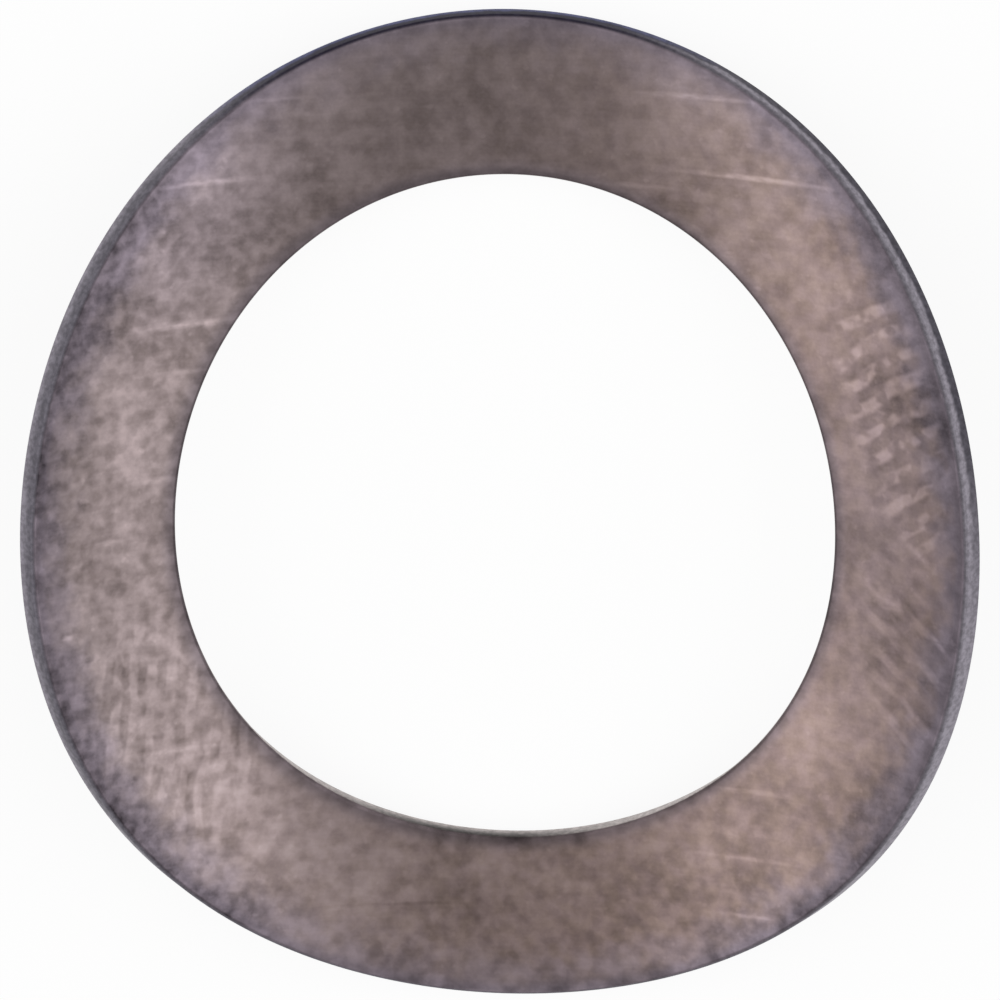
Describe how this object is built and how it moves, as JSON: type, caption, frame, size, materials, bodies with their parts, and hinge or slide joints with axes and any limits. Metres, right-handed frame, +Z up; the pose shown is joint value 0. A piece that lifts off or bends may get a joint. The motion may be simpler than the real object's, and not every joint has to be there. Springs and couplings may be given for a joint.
{
  "type": "curved shim washer",
  "caption": "Thin spring-steel shim washer with a large centre hole, bowed to a single curve so that its two sides stand up from the line it rests on.",
  "frame": {"origin": "bottom centre: the middle of the plan, at the height of the line that the washer rests on", "axes": "+Z up, along the hole, towards the hollow side; +Y along the straight lines of the bend; +X across the bend, towards a raised side"},
  "size_m": [0.0224, 0.024, 0.0044],
  "materials": {
    "spring_steel": "satin"
  },
  "bodies": {
    "root": {"curved_washer": "spring_steel"}
  },
  "joints": []
}
